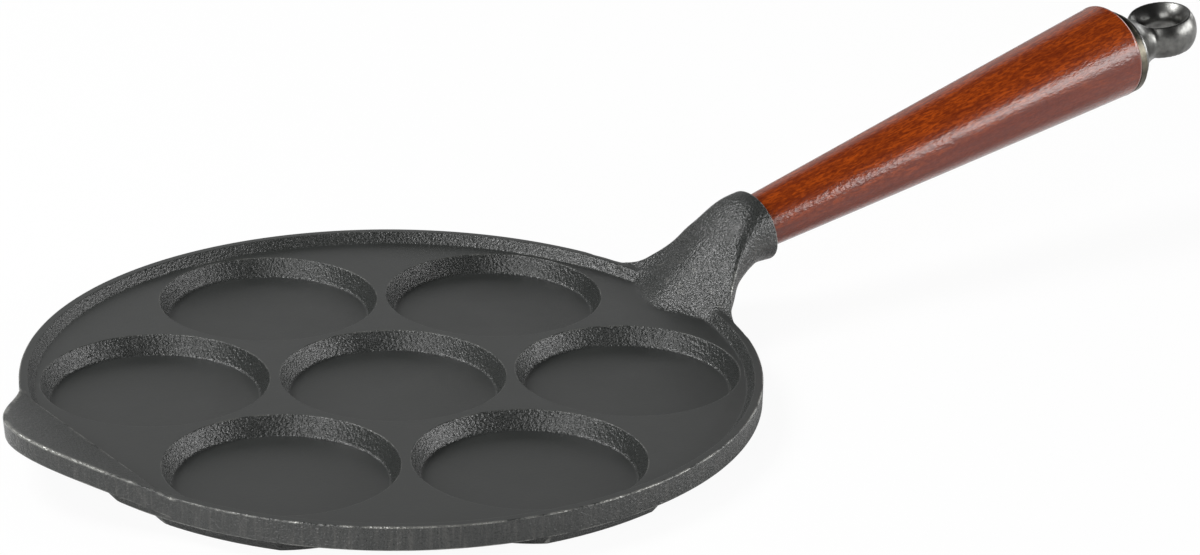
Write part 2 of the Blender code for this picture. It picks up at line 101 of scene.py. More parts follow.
def smoothCurve(points, at):  # a curve through (place, height) points, without overshoot
    x, y = np.array(points, float).T
    step = np.diff(x)
    rise = np.diff(y) / step
    slope = np.concatenate([rise[:1], np.zeros(len(x) - 2), rise[-1:]])
    for i in range(1, len(x) - 1):
        if rise[i - 1] * rise[i] > 0:
            before = 2 * step[i] + step[i - 1]
            after = step[i] + 2 * step[i - 1]
            slope[i] = (before + after) / (before / rise[i - 1] + after / rise[i])
    k = min(max(int(np.searchsorted(x, at)) - 1, 0), len(step) - 1)
    t = (at - x[k]) / step[k]
    ends = y[k] * (1 + 2 * t) * (1 - t) ** 2 + y[k + 1] * t * t * (3 - 2 * t)
    return float(ends + step[k] * t * (1 - t) * (slope[k] * (1 - t) - slope[k + 1] * t))


def ease(value):
    value = min(max(value, 0), 1)
    return value * value * (3 - 2 * value)


def denser(profile, step, guard=0.0003):  # no stretch above the step, and a point close to each corner
    points = [profile[0]]
    for (x0, y0), (x1, y1) in zip(profile, profile[1:]):
        length = math.hypot(x1 - x0, y1 - y0)
        parts = max(1, math.ceil(length / step))
        shares = [i / parts for i in range(1, parts)]
        if length > 3 * guard:
            between = [t for t in shares if 2 * guard < t * length < length - 2 * guard]
            shares = [guard / length, *between, 1 - guard / length]
        points += [(x0 + (x1 - x0) * t, y0 + (y1 - y0) * t) for t in (*shares, 1)]
    return points


# Points along the inner corners, and along the ridges where they are wanted.
def joinPoints(shape, where, minAngle, ridges):
    spacing = 0.0008
    points = []
    for edge in shape.edges:
        if len(edge.link_faces) != 2 or (edge.is_convex and not ridges) or edge.calc_length() < shortest:
            continue
        first, last = (vert.co for vert in edge.verts)
        if where(0.5 * (first + last)) and math.degrees(edge.calc_face_angle(0)) > minAngle:
            parts = max(1, math.ceil((last - first).length / spacing))
            points += [first.lerp(last, i / parts) for i in range(parts + 1)]
    near = KDTree(len(points))
    for index, point in enumerate(points):
        near.insert(point, index)
    near.balance()
    return near


def refineMesh(shape, near, reach, longest):  # a finer and more even mesh within reach of the corners
    passes, flatAngle = 7, 0.035
    for _ in range(passes):
        long = []
        for edge in shape.edges:
            length = edge.calc_length()
            middle = 0.5 * (edge.verts[0].co + edge.verts[1].co)
            if length > longest and near.find(middle)[2] < reach + 0.5 * length:
                long.append(edge)
        if not long:
            break
        made = bmesh.ops.subdivide_edges(shape, edges=long, cuts=1)["geom"]
        made = [part for part in made if isinstance(part, bmesh.types.BMFace) and len(part.verts) > 3]
        bmesh.ops.triangulate(shape, faces=made)
        paired = [edge for edge in shape.edges if len(edge.link_faces) == 2]
        flat = [edge for edge in paired if edge.calc_face_angle(1) < flatAngle]
        flat = [edge for edge in flat if near.find(edge.verts[0].co)[2] < 1.5 * reach]
        faces = list(dict.fromkeys(face for edge in flat for face in edge.link_faces))
        bmesh.ops.beautify_fill(shape, faces=faces, edges=flat, method="AREA")


# The soft inner corners that a sand mould gives: points near a corner move to the mean of their
# neighbours, the nearer the corner the more.
def softenJoins(piece, where, reach, rounds, longest, minAngle=9, ridges=False):
    pull = 0.5
    shape = bmesh.new()
    shape.from_mesh(piece.data)
    bmesh.ops.remove_doubles(shape, verts=shape.verts, dist=shortest)
    chosen = [face for face in shape.faces if len(face.verts) > 4 or where(face.calc_center_median())]
    bmesh.ops.triangulate(shape, faces=chosen)
    near = joinPoints(shape, where, minAngle, ridges)
    refineMesh(shape, near, reach, longest)
    shape.verts.index_update()
    places = np.array([vert.co for vert in shape.verts])
    weight = np.array([1 - ease(near.find(vert.co)[2] / reach) for vert in shape.verts])
    pairs = np.array([(edge.verts[0].index, edge.verts[1].index) for edge in shape.edges])
    pairs = pairs[(weight[pairs] > 0).any(1)]
    first, second = pairs.T
    for _ in range(rounds):
        length = np.linalg.norm(places[first] - places[second], axis=1) + 0.2 * longest
        total = np.zeros_like(places)
        count = np.zeros(len(places))
        for here, there in ((first, second), (second, first)):
            np.add.at(total, here, places[there] / length[:, None])
            np.add.at(count, here, 1 / length)
        moving = (weight > 0) & (count > 0)
        goal = total[moving] / count[moving][:, None]
        places[moving] += pull * weight[moving][:, None] * (goal - places[moving])
    for vert, place in zip(shape.verts, places):
        vert.co = place
    shape.to_mesh(piece.data)
    print("softened joins:", len(shape.verts), "points")
    shape.free()


def addForm(name, shape):
    mesh = bpy.data.meshes.new(name)
    bmesh.ops.recalc_face_normals(shape, faces=shape.faces)
    shape.to_mesh(mesh)
    shape.free()
    made = bpy.data.objects.new(name, mesh)
    bpy.context.scene.collection.objects.link(made)
    return made


def settle(piece):  # turns the modifiers' result into a plain mesh
    bpy.context.view_layer.update()
    done = piece.evaluated_get(bpy.context.evaluated_depsgraph_get())
    mesh = bpy.data.meshes.new_from_object(done)
    piece.modifiers.clear()
    old = piece.data
    piece.data = mesh
    bpy.data.meshes.remove(old)


def combine(piece, operation, tools):
    for tool in tools:
        step = piece.modifiers.new(operation.lower(), "BOOLEAN")
        step.operation = operation
        step.solver = "MANIFOLD"
        step.object = tool
    settle(piece)
    for tool in tools:
        bpy.data.objects.remove(tool)


# How bare the metal is on each edge, how deep each crease is and how level each corner is; the bare edges also
# carry a painted highlight and the creases carry painted shade. Faces above the largest area get none of the
# edge or crease marks.
def markEdges(piece, largest, wearHighlightAngles=(8, 18), creaseAngles=(8, 28)):
    shape = bmesh.new()
    shape.from_mesh(piece.data)
    edgeWearAndHighlight = np.zeros(len(shape.verts), np.float32)
    crease = np.zeros(len(shape.verts), np.float32)
    for edge in shape.edges:
        if len(edge.link_faces) != 2 or edge.calc_length() < shortest:
            continue
        angle = math.degrees(edge.calc_face_angle(0))
        marks, (least, most) = (edgeWearAndHighlight, wearHighlightAngles) if edge.is_convex else (crease, creaseAngles)
        amount = ease((angle - least) / (most - least))
        for vert in edge.verts:
            marks[vert.index] = max(marks[vert.index], amount)
    level = np.zeros(len(shape.verts), np.float32)
    for vert in shape.verts:
        total = sum((face.normal * face.calc_area() for face in vert.link_faces), Vector((0, 0, 1e-12)))
        level[vert.index] = abs(total.normalized().z)
    corners = np.array([vert.index for face in shape.faces for vert in face.verts])
    small = np.array([face.calc_area() < largest for face in shape.faces for _ in face.verts], np.float32)
    shape.free()
    marked = {"edgeWearAndHighlight": edgeWearAndHighlight[corners] * small, "crease": crease[corners] * small, "level": level[corners]}
    for name, values in marked.items():
        piece.data.attributes.new(name, "FLOAT", "CORNER").data.foreach_set("value", values)


def finishPiece(piece, material, body, nodes, sharp=38):
    mesh = piece.data
    mesh.materials.clear()
    mesh.materials.append(material)
    for face in mesh.polygons:
        face.material_index = 0
    mesh.shade_smooth()
    mesh.set_sharp_from_angle(angle=math.radians(sharp))
    weighted = piece.modifiers.new("even shading", "WEIGHTED_NORMAL")
    weighted.weight = 80
    weighted.keep_sharp = True
    settle(piece)
    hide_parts(*nodes)
    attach(piece, body)


def startMaterial(name):
    material = bpy.data.materials.new(name)
    material.use_nodes = True
    tree = material.node_tree
    return material, tree, tree.nodes["Principled BSDF"]


def addNode(tree, kind, settings=None, **inputs):
    node = tree.nodes.new(kind)
    for name, value in (settings or {}).items():
        setattr(node, name, value)
    for name, value in inputs.items():
        numbered = name[0] == "i" and name[1:].isdigit()
        socket = node.inputs[int(name[1:]) if numbered else name.replace("_", " ")]
        if isinstance(value, bpy.types.NodeSocket):
            tree.links.new(value, socket)
        else:
            socket.default_value = value
    return node


def mathNode(tree, operation, a, b=0.0, clamp=False):
    settings = {"operation": operation, "use_clamp": clamp}
    return addNode(tree, "ShaderNodeMath", settings, i0=a, i1=b).outputs[0]


def remap(tree, value, low, high, toLow=0.0, toHigh=1.0):
    return addNode(
        tree, "ShaderNodeMapRange", {"clamp": True}, Value=value,
        From_Min=low, From_Max=high, To_Min=toLow, To_Max=toHigh,
    ).outputs[0]


def mixColour(tree, factor, a, b):
    node = addNode(tree, "ShaderNodeMix", {"data_type": "RGBA"})
    for index, value in ((0, factor), (6, a), (7, b)):
        if isinstance(value, bpy.types.NodeSocket):
            tree.links.new(value, node.inputs[index])
        else:
            node.inputs[index].default_value = value if index == 0 else (*value, 1)
    return node.outputs[2]


def noise(tree, vector, scale, detail=2.0, rough=0.5, distortion=0.0):
    return addNode(
        tree, "ShaderNodeTexNoise", None, Vector=vector, Scale=scale, Detail=detail,
        Roughness=rough, Distortion=distortion,
    ).outputs[0]


def stretched(tree, vector, scale, turn=0.0):  # the turn is about the Y axis
    return addNode(
        tree, "ShaderNodeMapping", None, Vector=vector, Rotation=(0, turn, 0), Scale=scale,
    ).outputs[0]


def addBump(tree, height, strength, distance):
    return addNode(
        tree, "ShaderNodeBump", None, Strength=strength, Distance=distance, Height=height,
    ).outputs[0]


def attribute(tree, name):
    return addNode(tree, "ShaderNodeAttribute", {"attribute_name": name}).outputs["Fac"]


castPan = {
    "pitRadius": 0.0352, "pitDepth": 0.0059, "pitDraft": 0.0028, "pitFloorFillet": 0.0012,
    "pitEdgeRounding": 0.0005, "pitWeb": 0.0030, "pitsInRing": 6,
    "ringMargin": 0.0014, "rimFootFillet": 0.0009, "rimSlopeRun": 0.0023, "rimRise": 0.0033,
    "rimWidth": 0.0027, "rimEdgeRounding": 0.0005, "rimInnerRounding": 0.0006, "plateThickness": 0.0043,
    "floorThickness": 0.0035, "padWall": 0.0072, "padDraft": 0.0034, "padRounding": 0.0012,
    "skirtInset": 0.0050, "skirtDraft": 0.0034,
    "panFacets": 300, "pitFacets": 150, "padStagger": 0.004, "ringStep": 0.0016, "markedFace": 3.4e-6,
    "plateRing": 0.72, "mouthRun": 0.0040, "holeOver": 0.0020, "holeEndRun": 0.0008,
    # a toe is a list of (inset, height) in roundings, from the wall down to the middle
    "padToe": ((0.1, 0.6), (0.35, 0.3), (1, 0.05), (2, -0.4)), "padMiddle": -2,
    "skirtToe": ((0.1, 0.6), (0.35, 0.3), (0.7, 0.1), (1.2, 0)), "skirtMiddle": 0,
}
plateTop = castPan["floorThickness"] + castPan["pitDepth"]
plateBottom = plateTop - castPan["plateThickness"]
rimTop = plateTop + castPan["rimRise"]
pitPitch = 2 * castPan["pitRadius"] + castPan["pitWeb"]
plateRadius = pitPitch + castPan["pitRadius"] + castPan["ringMargin"]
rimInnerRadius = plateRadius + castPan["rimSlopeRun"]
panRadius = rimInnerRadius + castPan["rimWidth"]
overlap = 0.0002

lipForm = {
    "reach": 0.0169, "halfWidth": 0.0520, "foldInset": 0.0080, "riseInset": 0.0098,
    "angle": math.radians(21.3), "thickness": 0.0071, "draft": 0.0006, "footRun": 0.0025,
    "undersideDrop": 0.0033, "edgeRounding": 0.0005, "stations": 141,
    "wallShares": (0.05, 0.2, 0.4, 0.6, 0.8, 0.95), "edgeRun": 0.004, "underRise": 0.0002, "topRun": 0.002,
    "reliefInset": 0.0070, "reliefDrop": 0.0022, "reliefTop": 0.0200, "reliefBottom": 0.0260,
}

neckForm = {
    "tilt": math.radians(11.57), "reach": 0.0272, "rise": 0.0201, "socketDepth": 0.0066,
    "collarRadius": 0.0125, "collarRounding": 0.0005, "fillet": 0.0288, "buriedRun": 0.0020,
    "rampInset": 0.0140, "rampSharpness": 1.35, "bowRun": 0.0200,
    "rampWidths": ((-0.0160, 0.0110), (-0.0121, 0.0163), (-0.0096, 0.0212), (-0.0061, 0.0262), (0, 0.0272)),
    "sideHeights": ((0.0034, 0.0056), (0.0095, 0.0030), (0.0272, 0.0020)),
    "crease": ((0.125, 0.256), (0.35, 0.58), (0.59, 0.83), (0.85, 1.01), (1, 1.02)),
    "crown": ((0, 0.003), (0.19, 0.196), (0.42, 0.466), (0.645, 0.724), (0.83, 0.90), (1, 0.975)),
    "belly": ((0.01, 0), (0.125, 0.10), (0.35, 0.50), (0.59, 0.86), (0.77, 1.02), (1, 1.05)),
    "roundness": ((-1, 0), (-0.07, 0), (0.18, 0.45), (0.40, 0.95), (0.74, 1), (1, 1)),
    "shoulder": ((-1, 2.7), (0.51, 2.7), (1, 2)),
    "underside": ((-1, 2.5), (0, 2.5), (0.35, 1.8), (0.74, 1.85), (1, 2)),
    "crownFacets": 72, "bellyFacets": 36, "rampStations": 26, "reachStations": 52,
}

grip = {
    "length": 0.1612, "mouthRadius": 0.00915, "middleRadius": 0.0131, "endRadius": 0.0169,
    "endRounding": 0.0020, "boreGap": 0.0006, "boreOver": 0.0040, "facets": 128, "stations": 90,
}
rod = {
    "radius": 0.0030, "drop": 0.0018, "threadEngagement": 0.0100, "eyeEngagement": 0.0090,
    "gap": 0.0003, "facets": 48,
}
seatGap = 0.0003
gripPlace = Matrix.Translation((panRadius + neckForm["reach"], 0, plateTop + neckForm["rise"]))
gripPlace = gripPlace @ Matrix.Rotation(math.pi / 2 - neckForm["tilt"], 4, "Y")
rodPlace = gripPlace @ Matrix.Translation((rod["drop"], 0, 0))


def ringTree():  # places copies of a form on a ring, with one in the middle if wanted
    tree = bpy.data.node_groups.new("ring of forms", "GeometryNodeTree")
    face = tree.interface
    face.new_socket("Geometry", in_out="INPUT", socket_type="NodeSocketGeometry")
    kinds = {"Count": "Int", "Pitch": "Float", "Start": "Float", "Stagger": "Float", "Middle": "Bool"}
    for name, kind in kinds.items():
        face.new_socket(name, in_out="INPUT", socket_type=f"NodeSocket{kind}")
    face.new_socket("Material", in_out="INPUT", socket_type="NodeSocketMaterial")
    face.new_socket("Geometry", in_out="OUTPUT", socket_type="NodeSocketGeometry")
    given = tree.nodes.new("NodeGroupInput").outputs
    circle = addNode(tree, "GeometryNodeMeshCircle", None, Vertices=given["Count"], Radius=given["Pitch"])
    start = addNode(tree, "ShaderNodeCombineXYZ", None, Z=given["Start"])
    turned = addNode(
        tree, "GeometryNodeTransform", None, Geometry=circle.outputs[0], Rotation=start.outputs[0],
    )
    places = addNode(tree, "GeometryNodeMeshToPoints", None, Mesh=turned.outputs[0])
    middle = addNode(tree, "GeometryNodePoints", None, Count=addNode(
        tree, "FunctionNodeBooleanMath", {"operation": "AND"}, i0=given["Middle"], i1=True).outputs[0])
    everywhere = addNode(tree, "GeometryNodeJoinGeometry")
    tree.links.new(places.outputs[0], everywhere.inputs[0])
    tree.links.new(middle.outputs[0], everywhere.inputs[0])
    index = tree.nodes.new("GeometryNodeInputIndex")
    share = mathNode(tree, "MULTIPLY", index.outputs[0], given["Stagger"])
    turn = addNode(tree, "ShaderNodeCombineXYZ", None, Z=share)
    copies = addNode(
        tree, "GeometryNodeInstanceOnPoints", None,
        Points=everywhere.outputs[0], Instance=given["Geometry"], Rotation=turn.outputs[0],
    )
    real = addNode(tree, "GeometryNodeRealizeInstances", None, Geometry=copies.outputs[0])
    painted = addNode(
        tree, "GeometryNodeSetMaterial", None, Geometry=real.outputs[0], Material=given["Material"],
    )
    result = tree.nodes.new("NodeGroupOutput")
    tree.links.new(painted.outputs[0], result.inputs[0])
    return tree


def placeOnRing(piece, tree, material, **values):
    step = piece.modifiers.new("ring", "NODES")
    step.node_group = tree
    sockets = {item.name: item.identifier for item in tree.interface.items_tree if item.in_out == "INPUT"}
    for name, value in {"Material": material, **values}.items():
        step[sockets[name]] = value
    settle(piece)
    return piece


def dishForm():
    s = castPan
    profile = roundedProfile([
        (0, plateTop, 0),
        (s["plateRing"] * plateRadius, plateTop, 0),
        (plateRadius, plateTop, s["rimFootFillet"]),
        (rimInnerRadius, rimTop, s["rimInnerRounding"]),
        (panRadius, rimTop, s["rimEdgeRounding"]),
        (panRadius, plateBottom, s["rimEdgeRounding"]),
        (0, plateBottom, 0),
    ])
    return turnedForm(profile[:1] + denser(profile[1:-1], s["ringStep"]) + profile[-1:], s["panFacets"])


def pitForm():
    s = castPan
    floor = plateTop - s["pitDepth"]
    above = rimTop + s["rimRise"]
    lead = s["pitEdgeRounding"]
    profile = roundedProfile([
        (0, floor, 0),
        (s["pitRadius"] - s["pitDraft"], floor, s["pitFloorFillet"]),
        (s["pitRadius"], plateTop, lead),
        (s["pitRadius"] + 3 * lead, plateTop + 0.02 * lead, 0.1 * lead),
        (s["pitRadius"] + 3 * lead, above, 0),
        (0, above, 0),
    ])
    return turnedForm(profile[:1] + denser(profile[1:-2], s["ringStep"]) + profile[-2:], s["pitFacets"])


def draftedForm(radius, draft, height, toe, middle, facets):  # a round form that narrows downwards
    lean = draft / plateBottom
    rounding = castPan["padRounding"]
    profile = [(0, height), (radius + lean * height, height), (radius + lean * rounding, rounding)]
    profile += [(radius - inset * rounding, rise * rounding) for inset, rise in toe]
    return turnedForm([*profile, (0, middle * rounding)], facets)


def padForm():
    s = castPan
    radius = s["pitRadius"] - s["pitDraft"] + s["padWall"]
    height = plateBottom + 0.5 * s["plateThickness"]
    return draftedForm(radius, s["padDraft"], height, s["padToe"], s["padMiddle"], s["pitFacets"])


def skirtForm():
    s = castPan
    radius = panRadius - s["skirtInset"]
    return draftedForm(radius, s["skirtDraft"], plateTop, s["skirtToe"], s["skirtMiddle"], s["panFacets"])


def lipTab():
    s = lipForm
    slope = math.tan(s["angle"])
    insideWall = panRadius - overlap
    hiddenRadius = panRadius - 0.5 * castPan["rimWidth"]
    rounding, edgeRun = s["edgeRounding"], s["edgeRun"]
    foot = plateTop - 0.3 * castPan["plateThickness"]
    innerUnder = plateTop - s["undersideDrop"]
    sections = []
    for y in np.linspace(-s["halfWidth"], s["halfWidth"], s["stations"]):
        bell = s["reach"] * (0.5 + 0.5 * math.cos(math.pi * y / s["halfWidth"]))
        outer = math.sqrt(insideWall**2 - y * y) + bell
        inner = min(panRadius - s["foldInset"], math.sqrt(hiddenRadius**2 - y * y))
        outerTop = rimTop + slope * (outer - panRadius + s["riseInset"])
        innerTop = rimTop + slope * (inner - panRadius + s["riseInset"])
        under = max(outerTop - s["thickness"], innerUnder)
        footRun = s["footRun"] * (innerTop - foot) / (innerTop - plateTop)
        edge = roundedProfile([
            (-outer + edgeRun, outerTop - slope * edgeRun, 0),
            (-outer, outerTop, rounding),
            (-outer + s["draft"], under, rounding),
            (-outer + edgeRun, under + s["underRise"], 0),
        ], 4)[1:-1]
        (highX, highZ), (lowX, lowZ) = edge[4], edge[5]
        edge[5:5] = [(highX + (lowX - highX) * t, highZ + (lowZ - highZ) * t) for t in s["wallShares"]]
        inside = [(-inner, innerUnder), (-inner + footRun, innerUnder), (-inner + footRun, foot)]
        topLength = inner - outer + s["topRun"]
        topRise = outerTop - slope * s["topRun"] - innerTop
        top = [(-inner + topLength * t, innerTop + topRise * t) for t in np.linspace(0, 1, 20)]
        shares = np.linspace(0, 1, 6)[1:-1]
        wall = [(-inner + footRun * (1 - t), foot + (innerTop - foot) * t) for t in shares]
        sections.append([(x, y, z) for x, z in [*top, *edge, *inside, *wall]])
    return loftedForm(sections)


def lipRelief():
    s = lipForm
    near, far = -panRadius + s["reliefInset"], -panRadius - s["reach"]
    slope = (s["reliefBottom"] - s["reliefTop"]) / (castPan["plateThickness"] - s["reliefDrop"])
    sections = []
    for drop in (s["reliefDrop"], castPan["plateThickness"] + 0.5 * s["reliefDrop"]):
        half = s["reliefTop"] + slope * (drop - s["reliefDrop"])
        z = plateTop - drop
        sections.append([(near, -half, z), (near, half, z), (far, half, z), (far, -half, z)])
    return loftedForm(sections)


def neckLines():  # the side view: (reach beyond the rim, height above the plate)
    s = neckForm
    thickness, rimRise, rimWidth = castPan["plateThickness"], castPan["rimRise"], castPan["rimWidth"]
    start = -s["rampInset"] - s["buriedRun"]
    rimFoot = -rimWidth - castPan["rimSlopeRun"] - 0.5 * s["buriedRun"]
    sunk, wallLow = -0.35 * thickness, -0.86 * thickness
    rise = s["rise"] - rimRise
    ramp = s["reach"] + s["rampInset"]
    top, low = s["rise"] + s["collarRadius"], s["rise"] - s["collarRadius"]
    crease = [(start, 1.4 * sunk), (rimFoot, sunk)]
    crease += [(-0.9 * rimWidth, 0.85 * rimRise), (-overlap, 0.97 * rimRise)]
    crease += [(s["reach"] * t, rimRise + rise * h) for t, h in s["crease"]]
    crown = [(start, sunk)] + [(ramp * t - s["rampInset"], top * h) for t, h in s["crown"]]
    side = [(start, -0.3 * sunk), (rimFoot, -0.4 * sunk), (-overlap, rimRise - 0.84 * wallLow)]
    side += s["sideHeights"]
    belly = [(start, 0.8 * wallLow)]
    belly += [(s["reach"] * t, wallLow + (low - wallLow) * h) for t, h in s["belly"]]
    return crease, crown, side, belly


def neckSection(lines, reach, halfWidth, rampWidth, bow, shrink=0.0):
    s = neckForm
    crease, crown, side, belly = (smoothCurve(line, reach) for line in lines)
    along = reach / s["reach"]
    roundness = smoothCurve(s["roundness"], along)
    shoulder = smoothCurve(s["shoulder"], along)
    under = smoothCurve(s["underside"], along)
    lean = math.tan(s["tilt"]) * ease(along)
    loop = []
    for turn in np.linspace(0, math.pi, s["crownFacets"] + 1):
        across = math.cos(turn)
        onRamp = min(1, abs(across) * halfWidth / rampWidth)
        flared = (0.5 + 0.5 * math.cos(math.pi * onRamp)) ** s["rampSharpness"]
        rounded = max(0, 1 - abs(across) ** shoulder) ** (1 / shoulder)
        bell = (1 - roundness) * flared + roundness * rounded
        loop.append((halfWidth * across, crease + (crown - crease) * bell))
    for turn in np.linspace(math.pi, math.tau, s["bellyFacets"] + 1):
        across = math.cos(turn)
        drop = max(0, 1 - abs(across) ** under) ** (1 / under)
        loop.append((halfWidth * across, crease - side - (crease - side - belly) * drop))
    arcRadius = panRadius + min(reach, 0)
    points = []
    for y, z in loop:
        sag = arcRadius - math.sqrt(arcRadius**2 - y * y)
        away = Vector((y, z - s["rise"]))
        y, z = away * (1 - shrink / away.length)
        points.append((panRadius + reach - bow * sag - lean * z, y, plateTop + s["rise"] + z))
    return points


def neckFlare():
    s = neckForm
    lines = neckLines()
    across = s["collarRadius"] + s["fillet"]
    middle = math.sqrt((panRadius + s["fillet"]) ** 2 - across**2)
    leavesRim = panRadius * middle / (panRadius + s["fillet"])
    sections = []
    for reach in np.linspace(-s["rampInset"] - s["buriedRun"], -overlap, s["rampStations"]):
        rampWidth = smoothCurve(s["rampWidths"], reach)
        sections.append(neckSection(lines, reach, rampWidth, rampWidth, 1))
    last = panRadius + s["reach"]
    for x in np.linspace(leavesRim + 2 * overlap, last - s["collarRounding"], s["reachStations"]):
        halfWidth = s["collarRadius"]
        if x < middle:
            halfWidth = across - math.sqrt(s["fillet"] ** 2 - (middle - x) ** 2)
        bow = 1 - ease((x - leavesRim) / s["bowRun"])
        sag = panRadius - math.sqrt(panRadius**2 - halfWidth**2)
        rampWidth = min(halfWidth, s["rampWidths"][-1][1])
        sections.append(neckSection(lines, x + bow * sag - panRadius, halfWidth, rampWidth, bow))
    for t in np.linspace(0.2, 1, 5):  # the collar's rounded end
        reach = s["reach"] - s["collarRounding"] * (1 - math.sin(0.5 * math.pi * t))
        shrink = s["collarRounding"] * (1 - math.cos(0.5 * math.pi * t))
        sections.append(neckSection(lines, reach, s["collarRadius"], s["collarRadius"], 0, shrink))
    return loftedForm(sections)


def gripRadius(along):
    t = along / grip["length"]
    middle = 2 * (2 * grip["middleRadius"] - grip["mouthRadius"] - grip["endRadius"])
    return grip["mouthRadius"] + (grip["endRadius"] - grip["mouthRadius"]) * t + middle * t * (1 - t)


def rodHole(low, high, radius):
    return turnedForm([(0, high), (radius, high), (radius, low), (0, low)], rod["facets"], rodPlace)


softened = {  # each work is (reach, rounds, longest edge, least angle, ridges too), as softenJoins takes it
    "shoulders": ((0.1105, 0.0310, 0.0125), (0.1105, -0.0310, 0.0125)),
    "shoulderReach": 0.0085, "shoulderWork": (0.0042, 45, 0.0011, 6, True),
    "neckRun": 0.020, "neckHalf": 0.036, "neckWork": (0.0060, 45, 0.0012, 4),
    "lipWork": (0.0016, 8, 0.0010), "below": 0.001,
}


def softenPan(body):
    s = softened
    lowest = plateTop - s["below"]
    shoulders = [Vector(place) for place in s["shoulders"]]

    def onShoulder(place):
        return min((place - shoulder).length for shoulder in shoulders) < s["shoulderReach"]

    def onNeck(place):
        within = 0.8 * panRadius < place.x < panRadius + s["neckRun"]
        return within and abs(place.y) < s["neckHalf"] and place.z > lowest

    def onLip(place):
        return place.x < -0.6 * panRadius and place.z > lowest

    softenJoins(body, onShoulder, *s["shoulderWork"])
    softenJoins(body, onNeck, *s["neckWork"])
    softenJoins(body, onLip, *s["lipWork"])


def makePan(iron):
    s = castPan
    tree = ringTree()
    body = addForm("cast_pan", dishForm())
    ringAngle = math.tau / s["pitsInRing"]
    pads = []
    for number, start in enumerate((0.5, 1.5), 1):  # two rings of three, since pads side by side overlap
        pads.append(placeOnRing(
            addForm(f"pads_{number}", padForm()), tree, iron, Count=3, Pitch=pitPitch,
            Start=start * ringAngle, Stagger=s["padStagger"] * number, Middle=False,
        ))
    pads.append(addForm("middle_pad", padForm()))
    combine(pads[0], "UNION", pads[1:])
    combine(pads[0], "INTERSECT", [addForm("skirt", skirtForm())])
    combine(body, "UNION", [addForm("neck_flare", neckFlare()), addForm("lip_tab", lipTab())])
    combine(body, "UNION", pads[:1])
    pits = placeOnRing(
        addForm("pits", pitForm()), tree, iron,
        Count=s["pitsInRing"], Pitch=pitPitch, Start=0.5 * ringAngle, Stagger=0.0, Middle=True,
    )
    mouth, seat = s["mouthRun"], -neckForm["socketDepth"]
    recess = turnedForm([
        (0, mouth), (gripRadius(mouth) + seatGap, mouth), (gripRadius(seat) + seatGap, seat), (0, seat),
    ], grip["facets"], gripPlace)
    holeEnd = seat - rod["threadEngagement"] - s["holeEndRun"]
    hole = rodHole(holeEnd, s["holeOver"], rod["radius"] + rod["gap"])
    tools = [addForm("relief", lipRelief()), addForm("recess", recess), addForm("hole", hole)]
    combine(body, "DIFFERENCE", [pits, *tools])
    softenPan(body)
    markEdges(body, s["markedFace"])
    finishPiece(body, iron, "pan", ["pan_body"])
    return body


def makeGrip(wood):
    foot = -neckForm["socketDepth"] + seatGap
    end = grip["length"]
    rounding = grip["endRounding"]
    profile = [(0, end)]
    profile += reversed(arcPoints((gripRadius(end) - rounding, end - rounding), rounding, 0, 90, 10))
    for along in np.linspace(end - 1.3 * rounding, foot, grip["stations"]):
        profile.append((gripRadius(along), along))
    profile.append((0, foot))
    piece = addForm("turned_grip", turnedForm(profile, grip["facets"], gripPlace))
    over = grip["boreOver"]
    bore = rodHole(foot - over, end + over, rod["radius"] + grip["boreGap"])
    combine(piece, "DIFFERENCE", [addForm("bore", bore)])
    finishPiece(piece, wood, "pan", ["wood_grip"])
    return piece


washer = {
    "radius": 0.0153, "thickness": 0.0036, "crown": 0.0009, "edgeRounding": 0.0003, "facets": 144,
    # shares of the radius and, below the top, of the crown
    "crownLine": ((0.72, 0), (0.84, 0.10), (0.92, 0.34), (0.975, 0.70), (0.993, 0.86), (1, 1.05)),
}
washerSeat = grip["length"] + seatGap
eyeSeat = washerSeat + washer["thickness"] + seatGap


def makeWasher(steel):
    s = washer
    low, high = washerSeat, washerSeat + s["thickness"]
    bore = rod["radius"] + rod["gap"]
    radius, rounding = s["radius"], s["edgeRounding"]
    profile = [(bore, high)]
    profile += [(share * radius, high - drop * s["crown"]) for share, drop in s["crownLine"]]
    profile += [(radius, low + rounding), (radius - 0.3 * rounding, low + 0.3 * rounding)]
    profile += [(radius - rounding, low), (bore, low)]
    piece = addForm("crowned_washer", turnedForm(profile, s["facets"], rodPlace))
    finishPiece(piece, steel, "washer", ["end_washer"])
    return piece


eyeForm = {
    "flangeRadius": 0.0135, "flangeThickness": 0.0012, "neckRadius": 0.0080, "setback": 0.0199,
    "radius": 0.0126, "height": 0.0117, "mouthRadius": 0.0103, "waistRadius": 0.0064, "lipWidth": 0.0004,
    "barrelPower": 2.3, "neckEnd": 0.55, "neckPower": 2.4,
    "holeRun": 1.85, "holeEdge": 1.4, "holeShare": 1.08,
    "facets": 160, "voxel": 0.00032, "rounds": 70, "sharp": 50, "holeLead": 0.0020, "holeEndRun": 0.0008,
    # where the ring and its neck flow into each other
    "blendStart": 0.0020, "blendRun": 0.0060, "footStart": 0.0009, "footRun": 0.0020,
    "faceRun": 0.0002, "faceFade": 0.0010, "faceMargin": 0.0006,
}


